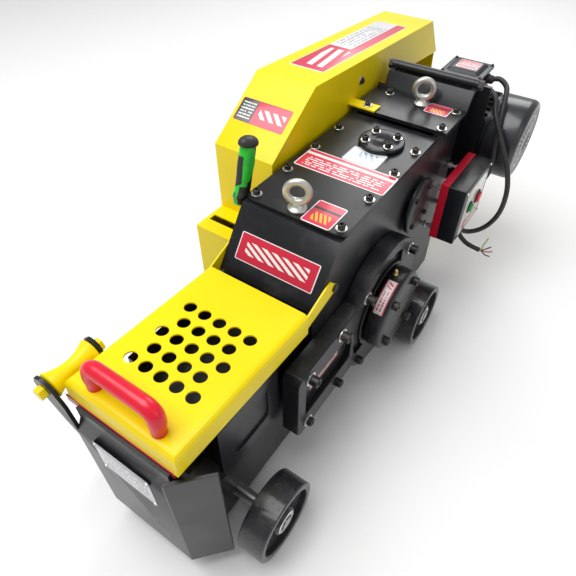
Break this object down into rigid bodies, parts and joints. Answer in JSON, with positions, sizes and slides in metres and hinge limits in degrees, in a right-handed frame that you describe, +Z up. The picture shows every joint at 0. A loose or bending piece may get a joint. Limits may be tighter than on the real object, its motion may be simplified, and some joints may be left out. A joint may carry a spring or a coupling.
{
  "type": "rebar cutter",
  "caption": "Electric bar shear: motor and belt drive a flywheel, gears and a crank that slides a blade past a fixed one under a hinged guard.",
  "frame": {"origin": "centre of the footprint at ground level", "axes": "+Z up, -Y towards the cutting end, +Y towards the motor, +X towards the switch box"},
  "size_m": [0.5137, 1.326, 0.564],
  "materials": {
    "black_paint": "gloss black enamel on castings and plates",
    "yellow_paint": "gloss yellow powder coat",
    "red_paint": "gloss red enamel",
    "red_plastic": "moulded red plastic",
    "green_plastic": "moulded green plastic",
    "green_rubber": "soft moulded grip, green with black inlays",
    "bright_zinc": "bright zinc plate",
    "brass": "bare brass",
    "tool_steel": "ground tool steel",
    "machined_steel": "turned and ground steel",
    "black_oxide": "blackened steel",
    "cast_iron": "cast iron, painted black on the wheels",
    "black_rubber": "black rubber"
  },
  "bodies": {
    "machine": {"gearbox_body": "black_paint", "top_cover_plate": "black_paint", "filler_cover": "black_paint", "rear_top_plate": "black_paint", "eyebolt_front": "bright_zinc", "eyebolt_rear": "bright_zinc", "side_housing": "black_paint", "bearing_cap": "black_paint", "grease_nipple": "brass", "shaft_cover": "black_paint", "crank_bush_left": "brass", "crank_bush_right": "brass", "front_frame": "black_paint", "front_panel": "black_paint", "fixed_blade": "tool_steel", "side_plate": "black_paint", "belt_guard": "yellow_paint", "front_axle": "machined_steel", "rear_axle": "machined_steel", "hinge_rod": "black_oxide", "cover_bolt_left": "black_oxide", "cover_bolt_right": "black_oxide", "roller_axle_bolt": "yellow_paint", "switch_box_base": "red_paint", "switch_box_cover": "black_paint", "switch_stud_1": "bright_zinc", "switch_stud_2": "bright_zinc", "switch_stud_3": "bright_zinc", "switch_stud_4": "bright_zinc", "drive_belt": "black_rubber", "motor_lead": "black_rubber", "fan_lead": "black_rubber", "supply_lead": "black_rubber"},
    "safety_cover": {"safety_cover": "yellow_paint", "cover_handle": "red_plastic"},
    "feed_roller": {"feed_roller": "yellow_paint"},
    "clutch_lever": {"clutch_lever": "black_oxide", "lever_grip": "green_rubber"},
    "wheel_front_left": {"wheel_front_left": "cast_iron"},
    "wheel_front_right": {"wheel_front_right": "cast_iron"},
    "wheel_rear_left": {"wheel_rear_left": "cast_iron"},
    "wheel_rear_right": {"wheel_rear_right": "cast_iron"},
    "ram": {"ram": "machined_steel", "moving_blade": "tool_steel", "connecting_rod": "cast_iron", "wrist_pin": "machined_steel"},
    "crank": {"crankshaft": "machined_steel", "crank_gear": "cast_iron"},
    "layshaft": {"layshaft": "machined_steel"},
    "flywheel_shaft": {"input_shaft": "machined_steel", "flywheel": "cast_iron"},
    "motor_cradle": {"motor_body": "black_paint", "fan_cowl": "black_paint", "terminal_box": "black_paint", "motor_plate": "black_paint"},
    "motor_rotor": {"motor_rotor": "machined_steel", "motor_pulley": "cast_iron"},
    "start_button": {"start_button": "green_plastic"},
    "stop_button": {"stop_button": "red_plastic"}
  },
  "joints": [
    {"name": "cover_hinge", "type": "hinge", "parent": "machine", "child": "safety_cover", "pos_m": [0.014, -0.243, 0.368], "axis": [-1, 0, 0], "range_deg": [0, 80]},
    {"name": "feed_roller_spin", "type": "hinge", "parent": "machine", "child": "feed_roller", "pos_m": [-0.115, -0.601, 0.37], "axis": [0, 1, 0], "continuous": true},
    {"name": "clutch_lever_swing", "type": "hinge", "parent": "machine", "child": "clutch_lever", "pos_m": [-0.093, -0.225, 0.3], "axis": [1, 0, 0], "range_deg": [-6, 6]},
    {"name": "wheel_front_left_spin", "type": "hinge", "parent": "machine", "child": "wheel_front_left", "pos_m": [-0.157, -0.519, 0.075], "axis": [1, 0, 0], "continuous": true},
    {"name": "wheel_front_right_spin", "type": "hinge", "parent": "machine", "child": "wheel_front_right", "pos_m": [0.185, -0.519, 0.075], "axis": [1, 0, 0], "continuous": true},
    {"name": "wheel_rear_left_spin", "type": "hinge", "parent": "machine", "child": "wheel_rear_left", "pos_m": [-0.157, 0.056, 0.075], "axis": [1, 0, 0], "continuous": true},
    {"name": "wheel_rear_right_spin", "type": "hinge", "parent": "machine", "child": "wheel_rear_right", "pos_m": [0.185, 0.056, 0.075], "axis": [1, 0, 0], "continuous": true},
    {"name": "ram_slide", "type": "slide", "parent": "machine", "child": "ram", "axis": [0, -1, 0], "range_m": [0, 0.04]},
    {"name": "crank_spin", "type": "hinge", "parent": "machine", "child": "crank", "pos_m": [0.014, -0.079, 0.203], "axis": [1, 0, 0], "continuous": true},
    {"name": "layshaft_spin", "type": "hinge", "parent": "machine", "child": "layshaft", "pos_m": [0.014, 0.0656, 0.2313], "axis": [1, 0, 0], "continuous": true},
    {"name": "flywheel_spin", "type": "hinge", "parent": "machine", "child": "flywheel_shaft", "pos_m": [-0.176, 0.096, 0.335], "axis": [1, 0, 0], "continuous": true},
    {"name": "motor_cradle_hinge", "type": "hinge", "parent": "machine", "child": "motor_cradle", "pos_m": [0.03, 0.316, 0.516], "axis": [1, 0, 0], "range_deg": [-1.5, 1.5], "deforming": ["drive_belt"]},
    {"name": "motor_spin", "type": "hinge", "parent": "motor_cradle", "child": "motor_rotor", "pos_m": [0.014, 0.459, 0.352], "axis": [1, 0, 0], "continuous": true},
    {"name": "start_button_press", "type": "slide", "parent": "machine", "child": "start_button", "axis": [-1, 0, 0], "range_m": [0, 0.003], "stiffness_N_per_m": 400},
    {"name": "stop_button_press", "type": "slide", "parent": "machine", "child": "stop_button", "axis": [-1, 0, 0], "range_m": [0, 0.003], "stiffness_N_per_m": 400}
  ],
  "couplings": [
    {"joint": "layshaft_spin", "follows": "crank_spin", "ratio": -4.3636},
    {"joint": "flywheel_spin", "follows": "crank_spin", "ratio": 17.058},
    {"joint": "motor_spin", "follows": "crank_spin", "ratio": 88.608}
  ]
}
